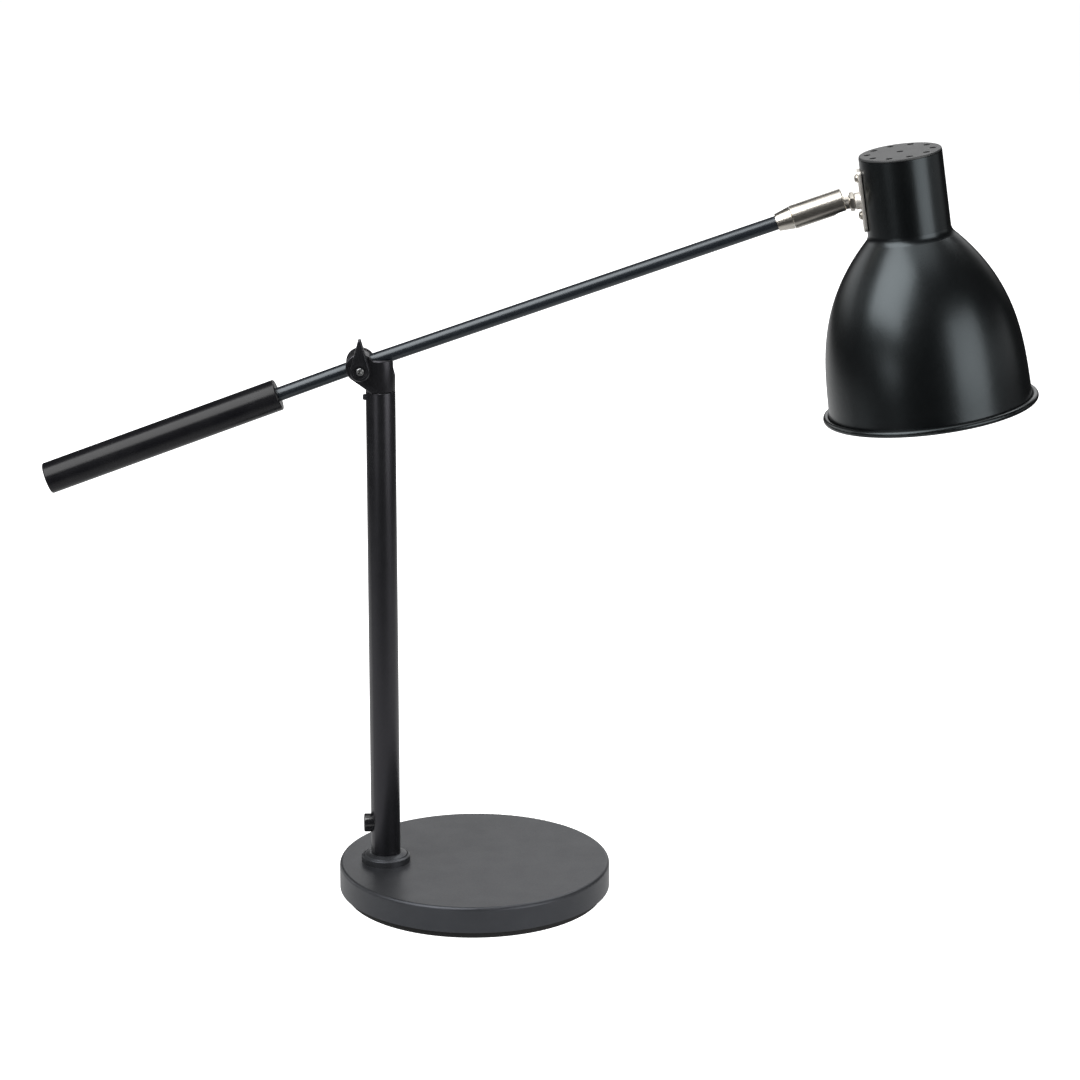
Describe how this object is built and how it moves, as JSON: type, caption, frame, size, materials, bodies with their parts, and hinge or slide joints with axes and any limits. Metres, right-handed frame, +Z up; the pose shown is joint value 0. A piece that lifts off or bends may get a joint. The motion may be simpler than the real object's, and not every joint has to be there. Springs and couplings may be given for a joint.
{
  "type": "counterbalanced desk lamp",
  "caption": "Desk lamp with a round weighted base, upright column, tilting arm balanced by a long counterweight, and a bell shade on a ball swivel.",
  "frame": {"origin": "middle of the base where its pad rests on the desk", "axes": "+Z up, +X towards the shade along the arm, +Y across the lamp to its far side"},
  "size_m": [0.63, 0.175, 0.4939],
  "materials": {
    "black_coat": "satin black powder coat",
    "shade_coat": "spun aluminium with satin black paint",
    "cap_coat": "aluminium with satin black paint",
    "arm_coat": "glossy blue-black",
    "counterweight_coat": "glossy black",
    "iron": "as cast",
    "pad": "matt",
    "rubber": "matt",
    "gloss_black": "polished",
    "black_plastic": "moulded",
    "steel": "zinc plated",
    "nickel": "polished warm nickel",
    "brass": "turned",
    "glass": "opal"
  },
  "bodies": {
    "stand": {"base_cover": "black_coat", "base_weight": "iron", "base_pad": "pad", "cable_inlet": "rubber", "column_flange": "black_coat", "column_tube": "black_coat", "column_plug": "steel", "column_nipple": "steel", "column_washer": "steel", "column_nut": "steel", "switch_body": "black_plastic", "bracket_screw": "steel"},
    "button": {"switch_button": "gloss_black"},
    "bracket": {"bracket": "black_coat", "pivot_nut": "steel"},
    "knob": {"wing_knob": "black_plastic", "pivot_bolt": "steel", "knob_washer": "steel"},
    "arm": {"arm_hub": "black_coat", "friction_washers": "black_plastic", "arm_tube": "arm_coat", "tail_rod": "arm_coat", "counterweight": "counterweight_coat", "swivel_collar": "nickel", "swivel_bolt": "brass"},
    "barrel": {"swivel_barrel": "nickel", "barrel_plug": "brass", "ball_spring": "steel", "ball_seat": "brass"},
    "stem": {"ball_stem": "nickel", "stem_lock_nut": "nickel"},
    "head": {"shade_plate": "nickel", "plate_screws": "nickel", "shade": "shade_coat", "shade_cap": "cap_coat", "holder_strap": "steel", "holder_nipple": "brass", "holder_nut": "brass", "lampholder": "black_plastic", "bulb_cap": "brass", "bulb_glass": "glass"}
  },
  "joints": [
    {"name": "switch_press", "type": "slide", "parent": "stand", "child": "button", "axis": [1, 0, 0], "range_m": [0, 0.002], "stiffness_N_per_m": 800, "springref_m": -0.001},
    {"name": "bracket_swivel", "type": "hinge", "parent": "stand", "child": "bracket", "pos_m": [-0.0575, 0, 0.3386], "axis": [0, 0, 1], "range_deg": [-170, 170]},
    {"name": "knob_turn", "type": "hinge", "parent": "bracket", "child": "knob", "pos_m": [-0.07, 0, 0.355], "axis": [0, -1, 0], "range_deg": [-30, 180]},
    {"name": "arm_tilt", "type": "hinge", "parent": "bracket", "child": "arm", "pos_m": [-0.07, 0, 0.355], "axis": [0, 1, 0], "range_deg": [-55.86, 24]},
    {"name": "barrel_turn", "type": "hinge", "parent": "arm", "child": "barrel", "pos_m": [0.22422, 0, 0.45671], "axis": [0.9451, 0, 0.3267], "range_deg": [-170, 170]},
    {"name": "ball_tilt", "type": "hinge", "parent": "barrel", "child": "stem", "pos_m": [0.22422, 0, 0.45671], "axis": [0.013, 0.9992, -0.0376], "range_deg": [-11, 38]},
    {"name": "head_turn", "type": "hinge", "parent": "stem", "child": "head", "pos_m": [0.22422, 0, 0.45671], "axis": [0.9909, -0.0078, 0.1343], "range_deg": [-170, 170]}
  ]
}
